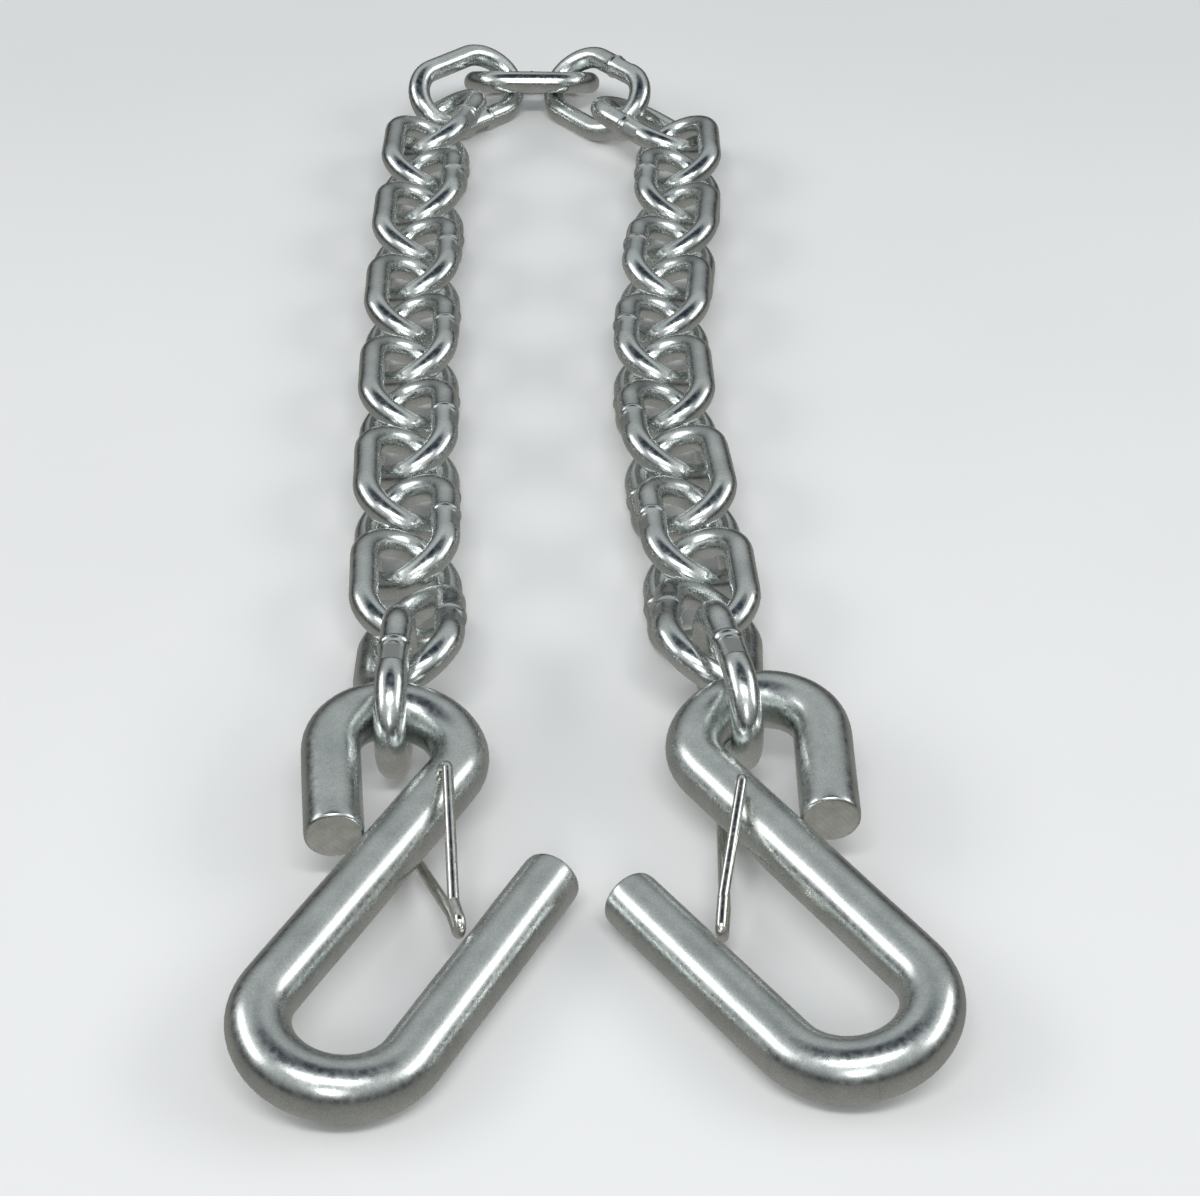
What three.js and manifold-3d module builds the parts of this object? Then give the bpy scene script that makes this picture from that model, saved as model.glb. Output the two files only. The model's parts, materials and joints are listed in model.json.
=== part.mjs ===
// Trailer safety chain: 31 welded links, an S-hook at each end and a spring-wire latch on each hook.
// Millimetres, +Z up. The chain lies in an upside-down U on the floor with both hooks at the near (-Y) end.
import * as THREE from "three";
import { mergeVertices } from "three/addons/utils/BufferGeometryUtils.js";
import Module from "manifold-3d";

const rad = THREE.MathUtils.degToRad;
const vec = (x, y, z = 0) => new THREE.Vector3(x, y, z);
const UP = vec(0, 0, 1);

// ---- Driving dimensions -------------------------------------------------------------------------
const GAP = 0.3; // clearance left between pieces that touch

// Chain link: 1/4 in proof coil
const WIRE = 7.0;
const LINK_INSIDE_LENGTH = 31.5;
const LINK_INSIDE_WIDTH = 15.0;
const LINK_PITCH = 24.0; // centre to centre where the slack chain lies closed up
const LINK_LEAN = 28; // degrees a lying link tips from the floor, left and right in turn

// S-hook: 1/2 in round bar
const ROD = 12.7;
const EYE_RADIUS = 13.8; // centreline
const EYE_SWEEP = 213; // degrees the eye curls round
const EYE_TAIL = 25.4; // straight end of the eye, down to its cut face
const SHANK = 70.9; // straight shank between bowl and eye
const BOWL_RADIUS = 15.6; // centreline
const BEVEL = 0.5; // broken edge of a cut face
const LATCH_EDGE = 0.2; // and of a cut wire end

// Latch: 3/32 in spring wire, bent to a hairpin that straddles the shank
const LATCH_WIRE = 2.4;
const LATCH_HOLE = 3.2;
const HOLE_ALONG = 61.4; // where the hole crosses the shank's axis, from the bowl
const HOLE_SLANT = 29; // degrees the hole leans toward the eye at its upper end
const LATCH_TIP_ALONG = 32.5; // where the tip rests on the free arm, from the bowl
const LATCH_TIP_RISE = 2.2; // height of the tip over the middle of the arm
const LATCH_TIP_CLEAR = 1.3 * GAP;
const LATCH_KINK = vec(-4.6, 5.5, -1.5); // from the tip to where the legs bend toward it
const LATCH_SPREAD = 1.8; // half the distance between the two legs, at the kink and at the tip
const LATCH_BEND = 1.6; // centreline radius of every bend in the wire
const LATCH_RISE = 9.8; // height over the shank's axis of the corner where the wire leaves the hole
const LATCH_STUB = 2.5; // how far from the shank's axis each end of the wire stops, inside the hole

// ---- Lay of the chain on the floor -------------------------------------------------------------------
// x to the right and y away, along the two legs of the U; the whole lay is centred at the end of the file.
// Headings are in degrees clockwise from +y; a lean raises the leg on the right of the heading.
const LEG_LINKS = 12; // leaning links in each leg
const LEG_START = 462;
const legEnd = LEG_START + LINK_PITCH * (LEG_LINKS - 1);
const leftLegX = (t) => -44.5 - 10.5 * Math.sin((Math.PI / 2) * t); // t runs 0 to 1 up a leg
const rightLegX = (t) => 20.7 + 3.8 * Math.cos(2 * Math.PI * t);
const TOP_LINKS = [
  { x: -52.3, y: 749, heading: 15, lean: 28 },
  { x: -44.1, y: 772.6, heading: 43, lean: -42 },
  { x: -23, y: 786.8, heading: 91, lean: 23.5 },
  { x: -1.2, y: 771, heading: 143, lean: -41 },
  { x: 16, y: 748.8, heading: 138.5, lean: 21.5, nose: -4 },
];
const LEFT_TURNED = { x: -43.5, y: 461.5, heading: -2, lean: 32, nose: -12 };
const LEFT_UPRIGHT = { x: -45, y: 439.5, heading: 0, lean: 90 };
const RIGHT_TURNED = { x: 24.7, y: 464.5, heading: 183, lean: 32, nose: 11 };
const RIGHT_UPRIGHT = { x: 28, y: 441.5, heading: 169, lean: 90 };
const LEFT_HOOK = { x: -63.15, y: 348.7, heading: 26.4, side: 1, arm: 58, splay: 0 };
const RIGHT_HOOK = { x: 60.92, y: 355.0, heading: -32.7, side: -1, arm: 52, splay: 2 };

// ---- Facets ---------------------------------------------------------------------------------------
const WIRE_SIDES = 10;
const CROWN_STEPS = 8;
const ROD_SIDES = 16;
const LATCH_SIDES = 8;
const BEND_STEPS = 5;

// ---- Sweeps -----------------------------------------------------------------------------------------
// A round wire along a list of points, square to the path at each one. The path is flat or nearly so, and
// `normal` is never along it. An open wire gets a bevelled flat face at each end.
function sweep(path, radius, sides, normal, closed, bevel = 0) {
  const rings = [];
  const tangentAt = (i) => {
    const n = path.length;
    const before = closed ? path[(i + n - 1) % n] : path[Math.max(i - 1, 0)];
    const after = closed ? path[(i + 1) % n] : path[Math.min(i + 1, n - 1)];
    return after.clone().sub(before).normalize();
  };
  const addRing = (centre, tangent, r) => {
    const side = new THREE.Vector3().crossVectors(tangent, normal).normalize();
    const top = new THREE.Vector3().crossVectors(side, tangent);
    const ring = [];
    for (let j = 0; j < sides; j++) {
      const a = (2 * Math.PI * (j + 0.5)) / sides;
      ring.push(
        centre
          .clone()
          .addScaledVector(side, r * Math.cos(a))
          .addScaledVector(top, r * Math.sin(a)),
      );
    }
    rings.push(ring);
  };
  path.forEach((p, i) => {
    const t = tangentAt(i);
    if (!closed && i === 0) {
      addRing(p, t, radius - bevel);
      addRing(p.clone().addScaledVector(t, bevel), t, radius);
    } else if (!closed && i === path.length - 1) {
      addRing(p.clone().addScaledVector(t, -bevel), t, radius);
      addRing(p, t, radius - bevel);
    } else addRing(p, t, radius);
  });

  const index = [];
  const spans = closed ? rings.length : rings.length - 1;
  for (let i = 0; i < spans; i++) {
    const a = i * sides;
    const b = ((i + 1) % rings.length) * sides;
    for (let j = 0; j < sides; j++) {
      const k = (j + 1) % sides;
      index.push(a + j, b + j, a + k);
      index.push(a + k, b + j, b + k);
    }
  }
  if (!closed) {
    const last = (rings.length - 1) * sides;
    for (let j = 1; j < sides - 1; j++) {
      index.push(0, j, j + 1);
      index.push(last, last + j + 1, last + j);
    }
  }
  const geometry = new THREE.BufferGeometry().setFromPoints(rings.flat());
  geometry.setIndex(index);
  geometry.computeVertexNormals();
  return geometry;
}

// Points on an arc of a flat path, from angle a to angle b, in degrees
function arc(cx, cy, radius, a, b, steps) {
  const points = [];
  for (let i = 0; i <= steps; i++) {
    const t = rad(a + ((b - a) * i) / steps);
    points.push(vec(cx + radius * Math.cos(t), cy + radius * Math.sin(t)));
  }
  return points;
}

// ---- One link, lying in its own XY plane with its length along Y ------------------------------------
const LINK_RADIUS = (LINK_INSIDE_WIDTH + WIRE) / 2; // centreline of a crown
const LINK_HALF = (LINK_INSIDE_LENGTH - LINK_INSIDE_WIDTH) / 2; // half a straight leg
const CROWN = LINK_RADIUS + LINK_HALF; // link centre to the crown's wire

function linkGeometry() {
  const path = [
    ...arc(0, LINK_HALF, LINK_RADIUS, 0, 180, CROWN_STEPS),
    ...arc(0, -LINK_HALF, LINK_RADIUS, 180, 360, CROWN_STEPS),
  ];
  return sweep(path, WIRE / 2, WIRE_SIDES, UP, true);
}

// ---- The hook, in its own XY plane: shank along +Y from the bowl, free arm at +X, eye curling to -X -
const ARM_X = 2 * BOWL_RADIUS;
const eyeEnd = rad(EYE_SWEEP);
const tailStart = vec(EYE_RADIUS * (Math.cos(eyeEnd) - 1), SHANK + EYE_RADIUS * Math.sin(eyeEnd));
const tailWay = vec(-Math.sin(eyeEnd), Math.cos(eyeEnd));

function hookPath(arm, splay) {
  const bowl = arc(BOWL_RADIUS, 0, BOWL_RADIUS, -splay, -180, 16);
  const armWay = vec(Math.sin(rad(splay)), Math.cos(rad(splay)));
  return [
    bowl[0].clone().addScaledVector(armWay, arm),
    bowl[0].clone().addScaledVector(armWay, arm / 2),
    ...bowl,
    vec(0, SHANK / 2),
    ...arc(-EYE_RADIUS, SHANK, EYE_RADIUS, 0, EYE_SWEEP, 18),
    tailStart.clone().addScaledVector(tailWay, EYE_TAIL),
  ];
}

const holeMiddle = vec(0, HOLE_ALONG);
const holeWay = vec(0, Math.sin(rad(HOLE_SLANT)), Math.cos(rad(HOLE_SLANT)));

const wasm = await Module();
wasm.setup();

function solidOf(geometry) {
  const bare = geometry.clone();
  bare.deleteAttribute("normal");
  const merged = mergeVertices(bare, 1e-4);
  return new wasm.Manifold(
    new wasm.Mesh({
      numProp: 3,
      vertProperties: merged.attributes.position.array,
      triVerts: new Uint32Array(merged.index.array),
    }),
  );
}

function geometryOf(solid) {
  const mesh = solid.getMesh();
  const geometry = new THREE.BufferGeometry();
  geometry.setAttribute("position", new THREE.BufferAttribute(mesh.vertProperties, 3));
  geometry.setIndex(new THREE.BufferAttribute(mesh.triVerts, 1));
  geometry.computeVertexNormals();
  return geometry;
}

function hookGeometry(arm, splay) {
  const bar = sweep(hookPath(arm, splay), ROD / 2, ROD_SIDES, UP, false, BEVEL);
  const drillPath = [-ROD, 0, ROD].map((d) => holeMiddle.clone().addScaledVector(holeWay, d));
  const drill = sweep(drillPath, LATCH_HOLE / 2, LATCH_SIDES, vec(1, 0, 0), false);
  return geometryOf(solidOf(bar).subtract(solidOf(drill)));
}

// ---- The latch, in the hook's frame -----------------------------------------------------------------
// A path through corner points, each inner corner bent to a round of the given radius
function bent(corners, radius, steps) {
  const path = [corners[0]];
  for (let i = 1; i < corners.length - 1; i++) {
    const here = corners[i];
    const back = corners[i - 1].clone().sub(here).normalize();
    const onward = corners[i + 1].clone().sub(here).normalize();
    const half = back.angleTo(onward) / 2;
    const inward = back.clone().add(onward).normalize();
    const centre = here.clone().addScaledVector(inward, radius / Math.sin(half));
    const spoke = here
      .clone()
      .addScaledVector(back, radius / Math.tan(half))
      .sub(centre);
    const axis = new THREE.Vector3().crossVectors(onward, back).normalize();
    const turn = Math.PI - 2 * half;
    for (let k = 0; k <= steps; k++) {
      path.push(spoke.clone().applyAxisAngle(axis, (turn * k) / steps).add(centre));
    }
  }
  path.push(corners[corners.length - 1]);
  return path;
}

function latchGeometry() {
  const outside = LATCH_RISE / Math.cos(rad(HOLE_SLANT));
  const inHole = (distance) => holeMiddle.clone().addScaledVector(holeWay, distance);
  const tip = vec(ARM_X - (ROD + LATCH_WIRE) / 2 - LATCH_TIP_CLEAR, LATCH_TIP_ALONG, LATCH_TIP_RISE);
  const kink = tip.clone().add(LATCH_KINK);
  const corners = [
    inHole(LATCH_STUB),
    inHole(outside),
    kink.clone().addScaledVector(UP, LATCH_SPREAD),
    tip.clone().addScaledVector(UP, LATCH_SPREAD),
    tip.clone().addScaledVector(UP, -LATCH_SPREAD),
    kink.clone().addScaledVector(UP, -LATCH_SPREAD),
    inHole(-outside),
    inHole(-LATCH_STUB),
  ];
  const path = bent(corners, LATCH_BEND, BEND_STEPS);
  return sweep(path, LATCH_WIRE / 2, LATCH_SIDES, vec(1, 0.2, 0), false, LATCH_EDGE);
}

// ---- Materials ----------------------------------------------------------------------------------------
const zinc = new THREE.MeshStandardMaterial({ color: 0xb4bcc0, roughness: 0.3, metalness: 1 });
const hookZinc = new THREE.MeshStandardMaterial({ color: 0xa8b0b2, roughness: 0.38, metalness: 1 });
const latchSteel = new THREE.MeshStandardMaterial({ color: 0xc4c3bc, roughness: 0.22, metalness: 1 });

// ---- Placing ------------------------------------------------------------------------------------------
const part = new THREE.Group();

// Along-way and right-hand way of a heading
const ahead = (heading) => vec(Math.sin(rad(heading)), Math.cos(rad(heading)));
const right = (heading) => vec(Math.cos(rad(heading)), -Math.sin(rad(heading)));

// A link at (x, y): `lean` raises the leg on the right of its heading, `nose` raises its far end, and its
// lowest point rests on the floor
function addLink(number, { x, y, heading, lean, nose = 0 }) {
  const along = ahead(heading)
    .multiplyScalar(Math.cos(rad(nose)))
    .addScaledVector(UP, Math.sin(rad(nose)));
  const level = right(heading);
  const over = new THREE.Vector3().crossVectors(level, along);
  const across = level.multiplyScalar(Math.cos(rad(lean))).addScaledVector(over, Math.sin(rad(lean)));
  const normal = new THREE.Vector3().crossVectors(across, along);
  const dip = LINK_RADIUS * Math.hypot(across.z, along.z) + LINK_HALF * Math.abs(along.z);
  const mesh = new THREE.Mesh(linkGeometry(), zinc);
  mesh.name = "link_" + String(number).padStart(2, "0");
  const matrix = new THREE.Matrix4().makeBasis(across, along, normal);
  matrix.setPosition(x, y, dip + WIRE / 2);
  matrix.decompose(mesh.position, mesh.quaternion, mesh.scale);
  part.add(mesh);
}

// One leg of the U, from its near end to its far end
function leg(legX, heading, firstLean) {
  const laid = [];
  for (let k = 0; k < LEG_LINKS; k++) {
    const t = k / (LEG_LINKS - 1);
    const slope = (legX(t + 0.01) - legX(t - 0.01)) / (0.02 * (legEnd - LEG_START));
    const turn = THREE.MathUtils.radToDeg(Math.atan(slope));
    laid.push({
      x: legX(t),
      y: LEG_START + LINK_PITCH * k,
      heading: heading + turn,
      lean: k % 2 ? -firstLean : firstLean,
    });
  }
  return laid;
}

const links = [
  LEFT_UPRIGHT,
  LEFT_TURNED,
  ...leg(leftLegX, 0, LINK_LEAN).slice(1),
  ...TOP_LINKS,
  ...leg(rightLegX, 180, LINK_LEAN).slice(1).reverse(),
  RIGHT_TURNED,
  RIGHT_UPRIGHT,
];
links.forEach((link, i) => addLink(i + 1, link));

// A hook flat on its free arm, with its eye raised on the link that runs under it
const HOOK_LIFT = WIRE + GAP; // of the eye over the arm
function addHook(name, { x, y, heading, side, arm, splay }) {
  const armReach = ARM_X + arm * Math.sin(rad(splay));
  const tilt = Math.asin(HOOK_LIFT / (armReach + EYE_RADIUS));
  const across = right(heading)
    .multiplyScalar(side * Math.cos(tilt))
    .addScaledVector(UP, -Math.sin(tilt));
  const along = ahead(heading);
  const normal = new THREE.Vector3().crossVectors(across, along);
  const matrix = new THREE.Matrix4().makeBasis(across, along, normal);
  matrix.setPosition(x, y, ROD / 2 + armReach * Math.sin(tilt));
  for (const [meshName, geometry, material] of [
    ["hook_" + name, hookGeometry(arm, splay), hookZinc],
    ["latch_" + name, latchGeometry(), latchSteel],
  ]) {
    const mesh = new THREE.Mesh(geometry, material);
    mesh.name = meshName;
    matrix.decompose(mesh.position, mesh.quaternion, mesh.scale);
    part.add(mesh);
  }
}
addHook("left", LEFT_HOOK);
addHook("right", RIGHT_HOOK);

// The origin is the middle of the footprint, on the floor
const box = new THREE.Box3().setFromObject(part, true);
const footprint = box.getCenter(vec(0, 0)).setZ(box.min.z);
for (const mesh of part.children) mesh.position.sub(footprint);

export default part;
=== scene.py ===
"""A zinc-plated trailer safety chain with an S-hook at each end, lying on a pale studio floor.

Metres, +Z up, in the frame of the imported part. Every link, hook and latch is rebuilt with its weld, cut
faces and surface finish, in the place of its CAD node, and rides on that node's body.
"""

import json
import math

import bpy
import numpy as np
from mathutils import Matrix, Vector, noise


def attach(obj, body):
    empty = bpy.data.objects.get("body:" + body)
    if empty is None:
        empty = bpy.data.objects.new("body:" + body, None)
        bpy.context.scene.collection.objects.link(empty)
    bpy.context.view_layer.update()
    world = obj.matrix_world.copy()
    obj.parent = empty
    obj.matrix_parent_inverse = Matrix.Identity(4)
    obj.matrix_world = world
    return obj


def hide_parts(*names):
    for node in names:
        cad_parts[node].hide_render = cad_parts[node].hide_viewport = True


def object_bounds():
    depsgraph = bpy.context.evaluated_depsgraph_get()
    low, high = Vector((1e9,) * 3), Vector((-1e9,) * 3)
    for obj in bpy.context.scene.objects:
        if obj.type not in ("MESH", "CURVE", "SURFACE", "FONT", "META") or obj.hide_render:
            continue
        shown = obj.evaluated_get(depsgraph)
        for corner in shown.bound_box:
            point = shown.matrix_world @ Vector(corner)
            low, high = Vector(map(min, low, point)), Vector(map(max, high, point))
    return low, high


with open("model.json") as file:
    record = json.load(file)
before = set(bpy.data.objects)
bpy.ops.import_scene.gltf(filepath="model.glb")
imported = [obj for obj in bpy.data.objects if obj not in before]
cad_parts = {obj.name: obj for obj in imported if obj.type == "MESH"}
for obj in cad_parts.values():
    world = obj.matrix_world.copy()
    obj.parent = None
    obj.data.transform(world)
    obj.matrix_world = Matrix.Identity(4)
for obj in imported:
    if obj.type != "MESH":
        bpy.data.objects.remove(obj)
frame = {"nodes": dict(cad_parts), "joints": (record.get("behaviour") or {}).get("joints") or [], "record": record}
cad_low, cad_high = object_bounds()
scene = bpy.context.scene
noise.seed_set(1)  # noise_vector takes its seed from the clock otherwise

MM = 0.001

# ---- Driving dimensions ------------------------------------------------------------------------
WIRE = 7.0 * MM
LINK_INSIDE_LENGTH = 31.5 * MM
LINK_INSIDE_WIDTH = 15.0 * MM
LINK_SQUARENESS = 1.9  # 2 is a round crown; less draws it toward a point
WELD_ALONG = 0.6 * MM  # from the middle of the leg
WELD_HEIGHT = 0.30 * MM
WELD_WIDTH = 0.45 * MM
WELD_RAGGEDNESS = 0.5 * MM
UPSET_HEIGHT = 0.12 * MM  # the wire thickens a little on both sides of the weld
UPSET_WIDTH = 2.2 * MM
LINK_WAVE = (9 * MM, 0.05 * MM)  # size and depth of the unevenness of a link
DIE_MARK = (-7.6 * MM, -1.9 * MM)  # the clamped flat beside the weld, along the leg
DIE_DEPTH = 0.5 * MM

ROD = 12.7 * MM
EYE_RADIUS = 13.8 * MM
EYE_SWEEP = math.radians(213)
EYE_TAIL = 25.4 * MM
SHANK = 70.9 * MM
BOWL_RADIUS = 15.6 * MM
HOOK_ARMS = {"left": (58 * MM, 0.0), "right": (52 * MM, math.radians(2))}  # length, splay

CUT_CORNER = 0.9 * MM  # round of a cut face's edge
CUT_WAVE = (2.2 * MM, 0.16 * MM)  # size and depth of the unevenness of a cut face
CUT_SINK = 0.12 * MM
HOOK_WAVE = (16 * MM, 0.09 * MM)

LATCH_WIRE = 2.4 * MM
LATCH_END = 0.8  # of the wire's radius, at its cut ends
LATCH_HOLE = 3.2 * MM
HOLE_ALONG = 61.4 * MM
HOLE_SLANT = math.radians(29)
LATCH_TIP = (-0.39 * MM, 32.5 * MM, 2.2 * MM)  # off the free arm's side, along it, over its middle
LATCH_KINK = (-4.6 * MM, 5.5 * MM, -1.5 * MM)  # from the tip to where the legs bend toward it
LATCH_SPREAD = 1.8 * MM  # half the distance between the two legs
LATCH_BEND = 1.6 * MM  # centreline radius of every bend
LATCH_RISE = 9.8 * MM  # over the shank's axis, of the corner where the wire leaves the hole
LATCH_STUB = 2.5 * MM  # where each end of the wire stops inside the hole

# ---- Facets --------------------------------------------------------------------------------------
WIRE_SIDES = 28
CROWN_STEPS = 22
WELD_STEP = 0.35 * MM
ROD_SIDES = 48
ROD_STEP = 1.6 * MM
LATCH_SIDES = 14
BEND_STEPS = 8
PLAIN_LEG_STEP = 1.6 * MM
BORE_SIDES = 24
CORNER_RINGS = 6

# What the room looks like from straight down (0) through the horizon (0.5) to straight up (1)
STUDIO_RAMP = [
    (0.0, (0.34, 0.33, 0.31)),
    (0.42, (0.24, 0.235, 0.22)),
    (0.48, (0.08, 0.08, 0.078)),
    (0.55, (0.012, 0.014, 0.016)),
    (0.64, (0.22, 0.23, 0.23)),
    (0.79, (0.50, 0.53, 0.53)),
    (0.91, (0.56, 0.59, 0.59)),
    (0.95, (0.01, 0.02, 0.04)),
]

link_radius = (LINK_INSIDE_WIDTH + WIRE) / 2
link_half = (LINK_INSIDE_LENGTH - LINK_INSIDE_WIDTH) / 2
arm_x = 2 * BOWL_RADIUS
hole_middle = np.array([0, HOLE_ALONG, 0])
hole_way = np.array([0, math.sin(HOLE_SLANT), math.cos(HOLE_SLANT)])


# ---- Camera, floor and light -----------------------------------------------------------------------
def make_camera():
    data = bpy.data.cameras.new("camera")
    data.sensor_width = 36
    data.lens = 74.9
    data.clip_start = 0.05
    data.clip_end = 20
    camera = bpy.data.objects.new("camera", data)
    camera.location = (0.0006, cad_low.y - 0.3202, 0.3473)
    camera.rotation_euler = (math.radians(55), 0, 0)
    scene.collection.objects.link(camera)
    scene.camera = camera


def make_floor():
    half = 4.0
    mesh = bpy.data.meshes.new("floor")
    corners = [(-half, -half, 0), (half, -half, 0), (half, half, 0), (-half, half, 0)]
    mesh.from_pydata([(x, y, cad_low.z) for x, y, _ in corners], [], [(0, 1, 2, 3)])
    floor = bpy.data.objects.new("floor", mesh)
    scene.collection.objects.link(floor)
    mesh.materials.append(floor_paper())
    floor.visible_glossy = False  # the metal reflects the studio around it instead


def area_light(name, place, target, size, power):
    data = bpy.data.lights.new(name, "AREA")
    data.shape = "RECTANGLE"
    data.size, data.size_y = size
    data.energy = power
    light = bpy.data.objects.new(name, data)
    light.location = place
    light.rotation_euler = (Vector(target) - Vector(place)).to_track_quat("-Z", "Y").to_euler()
    scene.collection.objects.link(light)


def make_lights():
    middle = (0, 0, 0)
    area_light("overhead", (0, -0.75, 1.3), middle, (1.0, 0.22), 8)
    area_light("left_panel", (-1.3, 0.0, 0.85), middle, (1.3, 0.5), 5.5)
    area_light("right_panel", (1.3, 0.0, 0.85), middle, (1.3, 0.5), 5.5)
    area_light("front_panel", (0, -1.6, 0.9), middle, (0.4, 0.35), 3.5)
    scene.world = studio()
    scene.view_settings.view_transform = "Standard"
    scene.view_settings.look = "None"


def studio():
    """The room that the metal reflects: a grey table, a dark horizon, pale walls and a dark zenith."""
    world = bpy.data.worlds.new("studio")
    world.use_nodes = True
    nodes = world.node_tree.nodes
    join = world.node_tree.links.new
    height = nodes.new("ShaderNodeSeparateXYZ")
    join(nodes.new("ShaderNodeTexCoord").outputs["Generated"], height.inputs[0])
    share = nodes.new("ShaderNodeMapRange")
    share.inputs["From Min"].default_value = -1
    join(height.outputs["Z"], share.inputs["Value"])
    ramp = nodes.new("ShaderNodeValToRGB")
    join(share.outputs["Result"], ramp.inputs["Fac"])
    elements = ramp.color_ramp.elements
    while len(elements) < len(STUDIO_RAMP):
        elements.new(0.5)
    for element, (position, colour) in zip(elements, STUDIO_RAMP):
        element.position = position
        element.color = (*colour, 1)
    join(ramp.outputs["Color"], nodes["Background"].inputs["Color"])
    return world


# ---- Materials ---------------------------------------------------------------------------------------
class Shader:
    """A material's nodes, with short names for adding and joining them."""

    def __init__(self, name):
        self.material = bpy.data.materials.new(name)
        self.material.use_nodes = True
        self.tree = self.material.node_tree
        self.surface = self.tree.nodes["Principled BSDF"]
        self.place = self.tree.nodes.new("ShaderNodeTexCoord").outputs["Object"]

    def node(self, kind, **settings):
        made = self.tree.nodes.new("ShaderNode" + kind)
        for key, value in settings.items():
            if key in made.inputs:
                made.inputs[key].default_value = value
            else:
                setattr(made, key, value)
        return made

    def join(self, source, target):
        self.tree.links.new(source, target)
        return target.node

    def noise(self, scale, detail=3.0, roughness=0.5):
        made = self.node("TexNoise", Scale=scale, Detail=detail, Roughness=roughness)
        self.join(self.place, made.inputs["Vector"])
        return made.outputs["Fac"]

    def ramp(self, source, stops):
        made = self.node("ValToRGB")
        self.join(source, made.inputs["Fac"])
        elements = made.color_ramp.elements
        while len(elements) < len(stops):
            elements.new(0.5)
        for element, (position, colour) in zip(elements, stops):
            element.position = position
            element.color = (*colour, 1)
        return made.outputs["Color"]

    def spread(self, source, low, high, start=0.3, end=0.7):
        made = self.node("MapRange")
        self.join(source, made.inputs["Value"])
        made.inputs["From Min"].default_value = start
        made.inputs["From Max"].default_value = end
        made.inputs["To Min"].default_value = low
        made.inputs["To Max"].default_value = high
        return made.outputs["Result"]

    def mix(self, factor, a, b, blend="MIX"):
        made = self.node("Mix", data_type="RGBA", blend_type=blend)
        for source, socket in ((factor, made.inputs[0]), (a, made.inputs[6]), (b, made.inputs[7])):
            if isinstance(source, bpy.types.NodeSocket):
                self.join(source, socket)
            elif isinstance(source, tuple):
                socket.default_value = (*source, 1)
            else:
                socket.default_value = source
        return made.outputs[2]

    def bump(self, source, depth, strength=1.0, under=None):
        made = self.node("Bump", Strength=strength, Distance=depth)
        self.join(source, made.inputs["Height"])
        if under is not None:
            self.join(under, made.inputs["Normal"])
        return made.outputs["Normal"]

    def mark(self, name):
        """A mask painted on the mesh's points, 0 to 1."""
        return self.node("Attribute", attribute_name=name).outputs["Fac"]


def floor_paper():
    shader = Shader("floor_paper")
    tone = shader.ramp(shader.noise(6), [(0.3, (0.86, 0.86, 0.86)), (0.7, (0.89, 0.89, 0.89))])
    shader.join(tone, shader.surface.inputs["Base Color"])
    shader.surface.inputs["Roughness"].default_value = 0.7
    shader.surface.inputs["Specular IOR Level"].default_value = 0.2
    return shader.material


def zinc(name, pale, deep, gloss, grain, grain_strength):
    """Clear zinc plating: cloudy grey metal with a fine sandy sparkle."""
    shader = Shader(name)
    surface = shader.surface
    surface.inputs["Metallic"].default_value = 1.0
    cloud = shader.noise(110, detail=4)
    fine = shader.noise(2600, detail=2, roughness=0.6)
    tint = shader.ramp(cloud, [(0.32, deep), (0.66, pale)])
    speckle = shader.ramp(fine, [(0.42, (0.84, 0.85, 0.85)), (0.58, (1, 1, 1))])
    colour = shader.mix(1.0, tint, speckle, "MULTIPLY")
    mark = shader.mark("mark")
    colour = shader.mix(shader.spread(mark, 0.0, 0.8, 0, 1), colour, (0.36, 0.37, 0.36))
    shader.join(colour, surface.inputs["Base Color"])
    rough = shader.spread(shader.noise(700, detail=3), gloss[0], gloss[1])
    added = shader.node("Math", operation="MULTIPLY_ADD")
    shader.join(mark, added.inputs[0])
    added.inputs[1].default_value = 0.24
    shader.join(rough, added.inputs[2])
    shader.join(added.outputs[0], surface.inputs["Roughness"])
    waves = shader.bump(shader.noise(260, detail=2), 0.012 * MM, 0.5)
    shader.join(shader.bump(fine, grain, grain_strength, waves), surface.inputs["Normal"])
    return shader.material


def cut_steel():
    """A sheared bar end under thin plating: pale, dull, faintly scored, with a trace of rust."""
    shader = Shader("cut_steel")
    surface = shader.surface
    surface.inputs["Metallic"].default_value = 0.35
    scores = shader.node("TexWave", Scale=420, Distortion=5.0, Detail=3.0)
    scores.bands_direction = "DIAGONAL"
    shader.join(shader.place, scores.inputs["Vector"])
    dull = shader.ramp(shader.noise(500, 4), [(0.3, (0.42, 0.41, 0.38)), (0.7, (0.52, 0.51, 0.47))])
    scored = shader.ramp(scores.outputs["Fac"], [(0.0, (0.93, 0.93, 0.92)), (0.6, (1, 1, 1))])
    colour = shader.mix(1.0, dull, scored, "MULTIPLY")
    rust = shader.spread(shader.noise(240, 5, 0.7), 0.0, 0.7, 0.68, 0.76)
    colour = shader.mix(rust, colour, (0.20, 0.11, 0.06))
    shader.join(colour, surface.inputs["Base Color"])
    shader.join(shader.spread(shader.noise(900), 0.42, 0.62), surface.inputs["Roughness"])
    ridges = shader.bump(scores.outputs["Fac"], 0.02 * MM, 0.4)
    shader.join(shader.bump(shader.noise(1500, 4), 0.03 * MM, 0.6, ridges), surface.inputs["Normal"])
    return shader.material


def spring_wire():
    """Bright drawn wire, a little warmer than the plating around it."""
    shader = Shader("spring_wire")
    surface = shader.surface
    surface.inputs["Metallic"].default_value = 1.0
    colour = shader.ramp(shader.noise(420, 3), [(0.3, (0.60, 0.60, 0.56)), (0.7, (0.80, 0.79, 0.75))])
    shader.join(colour, surface.inputs["Base Color"])
    shader.join(shader.spread(shader.noise(900), 0.14, 0.28), surface.inputs["Roughness"])
    shader.join(shader.bump(shader.noise(1800, 3), 0.02 * MM, 0.6), surface.inputs["Normal"])
    return shader.material


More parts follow.
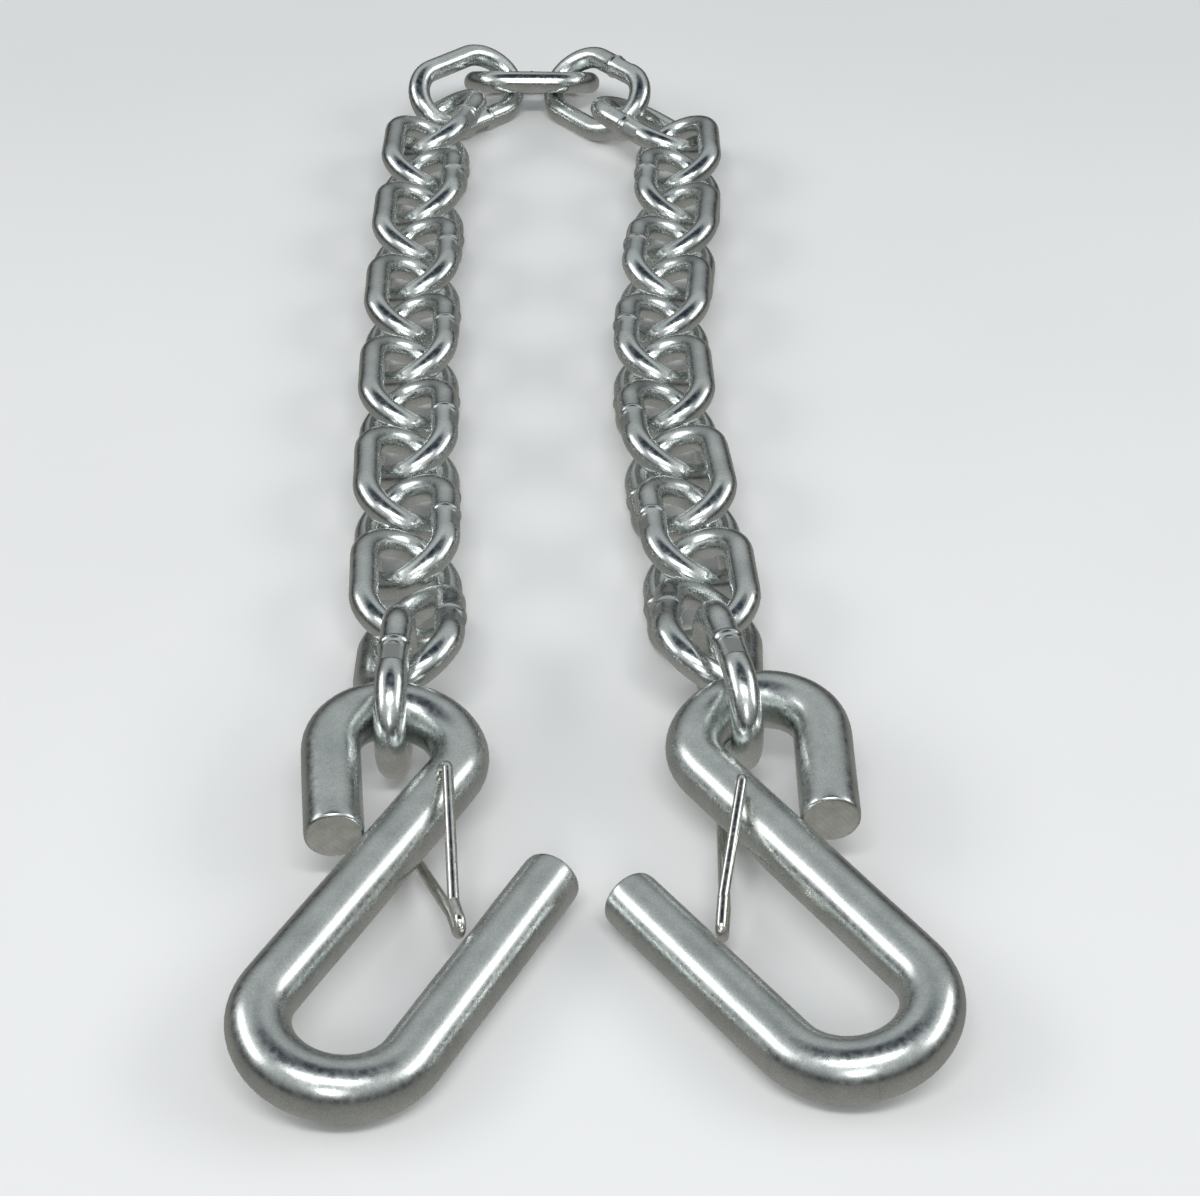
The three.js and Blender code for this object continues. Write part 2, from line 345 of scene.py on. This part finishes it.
def painted_shade_bore():
    """The inside of the latch's hole: dull bare metal whose colour is painted near-black, as painted shade down
    the hole.
    """
    shader = Shader("painted_shade_bore")
    surface = shader.surface
    surface.inputs["Metallic"].default_value = 0.4
    # Near-black base colour: painted shade inside the hole, much darker than the steel itself.
    colour = shader.ramp(shader.noise(900, 3), [(0.3, (0.02, 0.02, 0.02)), (0.7, (0.07, 0.065, 0.06))])
    shader.join(colour, surface.inputs["Base Color"])
    shader.join(shader.spread(shader.noise(900), 0.55, 0.75), surface.inputs["Roughness"])
    return shader.material


# ---- Sweeps ----------------------------------------------------------------------------------------
def unit(v):
    return v / np.linalg.norm(v, axis=-1, keepdims=True)


def tangents(points, closed):
    if closed:
        return unit(np.roll(points, -1, axis=0) - np.roll(points, 1, axis=0))
    return unit(np.gradient(points, axis=0))


def tube_rings(points, reach, reference, closed):
    """Rings of points round a path. `reach` holds each ring point's distance from the path; the first
    point of a ring is on the side that faces away from `reference` x tangent."""
    along = tangents(points, closed)
    side = unit(np.cross(along, reference))
    over = np.cross(side, along)
    angle = np.linspace(0, 2 * math.pi, reach.shape[1], endpoint=False)
    out = np.cos(angle)[None, :, None] * side[:, None] + np.sin(angle)[None, :, None] * over[:, None]
    return points[:, None] + reach[:, :, None] * out


def ring_faces(rings, sides, closed):
    faces = []
    for i in range(rings if closed else rings - 1):
        a, b = i * sides, ((i + 1) % rings) * sides
        for j in range(sides):
            k = (j + 1) % sides
            faces.append((a + j, a + k, b + k, b + j))
    return faces


def wobble(points, size, depth):
    """Moves points a little by smooth noise, as on a piece bent and plated in bulk."""
    moved = [Vector(p) + noise.noise_vector(Vector(p) / size) * depth for p in points]
    return np.array(moved)


def arc(centre, radius, start, end, step):
    """Points on a circle in the XY plane, both ends included, angles in radians."""
    count = max(4, round(abs(end - start) * radius / step))
    angle = np.linspace(start, end, count + 1)
    flat = np.c_[centre[0] + radius * np.cos(angle), centre[1] + radius * np.sin(angle)]
    return np.c_[flat, np.zeros(len(flat))]


def straight(start, end, step):
    """Points between two ends, both ends left out."""
    count = max(1, round(np.linalg.norm(end - start) / step))
    share = np.linspace(0, 1, count + 1)[1:-1, None]
    return start + (end - start) * share


def add_object(name, points, faces, placing):
    mesh = bpy.data.meshes.new(name)
    mesh.from_pydata([tuple(p) for p in points], [], faces)
    mesh.transform(placing)
    mesh.polygons.foreach_set("use_smooth", [True] * len(faces))
    mesh.update()
    made = bpy.data.objects.new(name, mesh)
    scene.collection.objects.link(made)
    return made


def stand_for(piece, node):
    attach(piece, node)
    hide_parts(node)


# ---- Links -----------------------------------------------------------------------------------------
def crown_points(start):
    """Half a turn round one end of a link, its shoulders drawn in a little."""
    angle = np.linspace(start, start + math.pi, CROWN_STEPS + 1)
    x, y = np.cos(angle), np.sin(angle)
    swell = (abs(x) ** LINK_SQUARENESS + abs(y) ** LINK_SQUARENESS) ** (-1 / LINK_SQUARENESS)
    end = link_half if start == 0 else -link_half
    return np.c_[link_radius * swell * x, end + link_radius * swell * y, np.zeros(len(x))]


def link_path():
    top = crown_points(0)
    bottom = crown_points(math.pi)
    plain_leg = straight(top[-1], bottom[0], PLAIN_LEG_STEP)
    weld_leg = straight(bottom[-1], top[0], WELD_STEP)
    return np.vstack([top, plain_leg, bottom, weld_leg])


def link_mesh(seed):
    """Points, faces and clamp marks of a link in its own frame, welded on its +X leg."""
    path = link_path()
    sides = WIRE_SIDES
    angle = np.linspace(0, 2 * math.pi, sides, endpoint=False)
    reach = np.full((len(path), sides), WIRE / 2)
    on_leg = (path[:, 0] > 0) & (abs(path[:, 1]) < link_half)
    beside = path[:, 1] - WELD_ALONG

    ragged = np.array([[noise.noise(Vector((seed, a, 0))) for a in angle * 1.5]])
    seam = beside[:, None] + ragged * WELD_RAGGEDNESS
    ridge = WELD_HEIGHT * np.exp(-((seam / WELD_WIDTH) ** 2))
    upset = UPSET_HEIGHT * np.exp(-((seam / UPSET_WIDTH) ** 2))
    reach += np.where(on_leg[:, None], ridge + upset, 0)

    clamped = on_leg & (beside > DIE_MARK[0]) & (beside < DIE_MARK[1])
    flat = (WIRE / 2 - DIE_DEPTH) / np.maximum(np.cos(angle), 0.2)
    reach = np.where(clamped[:, None], np.minimum(reach, flat), reach)
    pressed = np.where(clamped[:, None], flat < WIRE / 2, False)

    rings = tube_rings(path, reach, np.array([0, 0, 1.0]), closed=True)
    points = wobble(rings.reshape(-1, 3) + seed, *LINK_WAVE) - seed
    return points, ring_faces(len(path), sides, closed=True), pressed.reshape(-1)


def node_points(node):
    mesh = frame["nodes"][node].data
    points = np.empty(len(mesh.vertices) * 3)
    mesh.vertices.foreach_get("co", points)
    return points.reshape(-1, 3)


def link_placing(node):
    """A link's own frame: Y along it, X across it toward its welded leg, which is on the inside of the U,
    or on top where the link stands on edge."""
    points = node_points(node)
    centre = (points.min(0) + points.max(0)) / 2
    spread = np.linalg.svd(points - points.mean(0), full_matrices=False)[2]
    along, across = spread[0], spread[1]
    inward = np.array([0, 0, 1.0]) if abs(across[2]) > 0.9 else np.array([-centre[0], 0, 0])
    across = across if across @ inward > 0 else -across
    along = along if along[1] > 0 else -along
    placing = np.eye(4)
    placing[:3, 0], placing[:3, 1], placing[:3, 2] = across, along, np.cross(across, along)
    placing[:3, 3] = points.mean(0)
    return Matrix(placing)


def make_link(node, number, material):
    points, faces, pressed = link_mesh(seed=0.13 * number)
    piece = add_object(node + "_welded", points, faces, link_placing(node))
    mark = piece.data.attributes.new("mark", "FLOAT", "POINT")
    mark.data.foreach_set("value", pressed.astype(np.float32))
    piece.data.materials.append(material)
    stand_for(piece, node)


# ---- Hooks -----------------------------------------------------------------------------------------
def hook_path(arm, splay):
    bowl = arc((BOWL_RADIUS, 0), BOWL_RADIUS, -splay, -math.pi, ROD_STEP)
    arm_way = np.array([math.sin(splay), math.cos(splay), 0])
    tip = bowl[0] + arm * arm_way
    eye = arc((-EYE_RADIUS, SHANK), EYE_RADIUS, 0, EYE_SWEEP, ROD_STEP)
    tail_way = np.array([-math.sin(EYE_SWEEP), math.cos(EYE_SWEEP), 0])
    end = eye[-1] + EYE_TAIL * tail_way
    parts = [
        tip[None],
        straight(tip, bowl[0], ROD_STEP),
        bowl,
        straight(bowl[-1], eye[0], ROD_STEP),
        eye,
        straight(eye[-1], end, ROD_STEP),
        end[None],
    ]
    return np.vstack(parts)


def cut_end(centre, outward, ring, seed):
    """Rings that round a bar's edge off and cross its cut face to the middle."""
    radius = ROD / 2
    rings = []
    for turn in np.linspace(0, math.pi / 2, CORNER_RINGS):
        inset = CUT_CORNER * (1 - math.cos(turn))
        rings.append((radius - inset, -CUT_CORNER * (1 - math.sin(turn))))
    inner = radius - CUT_CORNER
    rings += [(inner * share, 0.0) for share in (0.9, 0.75, 0.6, 0.45, 0.3, 0.15)]
    spokes = unit(ring - centre)
    made = []
    for r, depth in rings:
        row = centre + spokes * r + outward * depth
        if depth == 0:
            rough = [noise.noise(Vector(p) / CUT_WAVE[0] + Vector((seed, 0, 0))) for p in row]
            row = row + outward * (np.array(rough)[:, None] * CUT_WAVE[1] - CUT_SINK)
        made.append(row)
    return np.array(made)


def hook_mesh(arm, splay, seed):
    """Points and faces of a hook's bar, and which faces are its two cut ends."""
    path = hook_path(arm, splay)
    way = tangents(path, closed=False)
    ends = [(path[0], -way[0]), (path[-1], way[-1])]
    path[0] += way[0] * CUT_CORNER
    path[-1] -= way[-1] * CUT_CORNER
    reach = np.full((len(path), ROD_SIDES), ROD / 2)
    body = tube_rings(path, reach, np.array([0, 0, 1.0]), closed=False)
    near = cut_end(*ends[0], body[0] + ends[0][1] * CUT_CORNER, seed)
    far = cut_end(*ends[1], body[-1] + ends[1][1] * CUT_CORNER, seed + 5)
    rings = np.concatenate([near[::-1], body[1:-1], far])
    count = len(rings)
    points = rings.reshape(-1, 3)
    smooth = wobble(points + seed, *HOOK_WAVE) - seed
    faces = ring_faces(count, ROD_SIDES, closed=False)
    first = list(range(ROD_SIDES))
    last = [(count - 1) * ROD_SIDES + j for j in reversed(range(ROD_SIDES))]
    cap_rings = len(near) - (CORNER_RINGS - 1)
    cut = set(range(cap_rings * ROD_SIDES))
    cut |= set(range((count - 1 - cap_rings) * ROD_SIDES, (count - 1) * ROD_SIDES))
    faces += [tuple(reversed(first)), tuple(reversed(last))]
    cut |= {len(faces) - 2, len(faces) - 1}
    return smooth, faces, cut


def drill(piece, placing, bore):
    """Cuts the latch's slanted hole through the shank."""
    ends = np.array([hole_middle - 2 * ROD * hole_way, hole_middle + 2 * ROD * hole_way])
    reach = np.full((2, BORE_SIDES), LATCH_HOLE / 2)
    rings = tube_rings(ends, reach, np.array([1.0, 0, 0]), closed=False)
    faces = ring_faces(2, BORE_SIDES, closed=False)
    faces += [tuple(reversed(range(BORE_SIDES))), tuple(range(BORE_SIDES, 2 * BORE_SIDES))]
    cutter = add_object("drill", rings.reshape(-1, 3), faces, placing)
    # The hole's walls take the bore material, which is coloured near-black as painted shade.
    cutter.data.materials.append(bore)
    cut = piece.modifiers.new("hole", "BOOLEAN")
    cut.operation = "DIFFERENCE"
    cut.solver = "EXACT"
    cut.material_mode = "TRANSFER"
    cut.object = cutter
    bpy.context.view_layer.update()
    drilled = bpy.data.meshes.new_from_object(piece.evaluated_get(bpy.context.evaluated_depsgraph_get()))
    piece.modifiers.clear()
    piece.data = drilled
    bpy.data.objects.remove(cutter)


def basis(origin, first, second):
    """A right-handed frame from a point and two directions."""
    x = Vector(first).normalized()
    z = Vector(first).cross(Vector(second)).normalized()
    y = z.cross(x)
    made = Matrix((x, y, z)).transposed().to_4x4()
    made.translation = Vector(origin)
    return made


def hook_placing(side):
    """The hook's own frame, from its latch's pivot and the end of its free arm."""
    arm, splay = HOOK_ARMS[side]
    pivot = next(j for j in frame["joints"] if j["child"] == "latch_" + side)
    mounts = frame["record"]["mounts"]
    tip = next(m for m in mounts if m["name"] == side + "_arm_tip")
    own_tip = hook_path(arm, splay)[0]
    own = basis(hole_middle, own_tip - hole_middle, -hole_way)
    there = basis(pivot["pos_m"], Vector(tip["pos_m"]) - Vector(pivot["pos_m"]), pivot["axis"])
    return there @ own.inverted()


def make_hook(side, seed, plating, cut_face, bore):
    arm, splay = HOOK_ARMS[side]
    placing = hook_placing(side)
    points, faces, cut = hook_mesh(arm, splay, seed)
    piece = add_object("hook_" + side + "_bar", points, faces, placing)
    piece.data.materials.append(plating)
    piece.data.materials.append(cut_face)
    # Third slot: the hole's walls, painted near-black as shade.
    piece.data.materials.append(bore)
    slots = [1 if i in cut else 0 for i in range(len(faces))]
    piece.data.polygons.foreach_set("material_index", slots)
    drill(piece, placing, bore)
    piece.data.set_sharp_from_angle(angle=math.radians(40))
    stand_for(piece, "hook_" + side)


# ---- Latches ---------------------------------------------------------------------------------------
def bent(corners, radius, steps):
    """A path through corner points, each inner corner bent to a round of the given radius."""
    path = [corners[0]]
    for before, here, after in zip(corners, corners[1:], corners[2:]):
        back, onward = unit(before - here), unit(after - here)
        half = math.acos(back @ onward) / 2
        centre = here + unit(back + onward) * radius / math.sin(half)
        spoke = here + back * radius / math.tan(half) - centre
        for share in np.linspace(0, 1, steps + 1):
            turn = (math.pi - 2 * half) * share
            path.append(centre + spoke * math.cos(turn) - back * radius * math.sin(turn))
    path.append(corners[-1])
    return np.array(path)


def latch_path():
    outside = LATCH_RISE / math.cos(HOLE_SLANT)
    spread = np.array([0, 0, LATCH_SPREAD])
    tip = np.array([arm_x - (ROD + LATCH_WIRE) / 2, 0, 0]) + LATCH_TIP
    kink = tip + LATCH_KINK
    upper = [hole_middle + LATCH_STUB * hole_way, hole_middle + outside * hole_way]
    lower = [hole_middle - outside * hole_way, hole_middle - LATCH_STUB * hole_way]
    turn = [kink + spread, tip + spread, tip - spread, kink - spread]
    return bent(upper + turn + lower, LATCH_BEND, BEND_STEPS)


def make_latch(side, wire):
    path = latch_path()
    reach = np.full((len(path), LATCH_SIDES), LATCH_WIRE / 2)
    reach[[0, -1]] *= LATCH_END
    rings = tube_rings(path, reach, np.array([1.0, 0.2, 0]), closed=False)
    faces = ring_faces(len(path), LATCH_SIDES, closed=False)
    last = (len(path) - 1) * LATCH_SIDES
    faces.append(tuple(reversed(range(LATCH_SIDES))))
    faces.append(tuple(range(last, last + LATCH_SIDES)))
    piece = add_object("latch_" + side + "_wire", rings.reshape(-1, 3), faces, hook_placing(side))
    piece.data.materials.append(wire)
    stand_for(piece, "latch_" + side)


# ---- Building --------------------------------------------------------------------------------------
make_camera()
make_floor()
make_lights()

link_plating = zinc("link_zinc", (0.80, 0.83, 0.815), (0.62, 0.65, 0.64), (0.17, 0.31), 0.010 * MM, 0.5)
hook_plating = zinc("hook_zinc", (0.73, 0.76, 0.745), (0.58, 0.61, 0.60), (0.22, 0.34), 0.005 * MM, 0.3)
cut_face = cut_steel()
# Near-black material for the hole's walls: painted shade.
bore = painted_shade_bore()
wire = spring_wire()

links = sorted(node for node in frame["nodes"] if node.startswith("link_"))
for number, node in enumerate(links, start=1):
    make_link(node, number, link_plating)
for seed, side in enumerate(HOOK_ARMS, start=1):
    make_hook(side, 0.7 * seed, hook_plating, cut_face, bore)
    make_latch(side, wire)
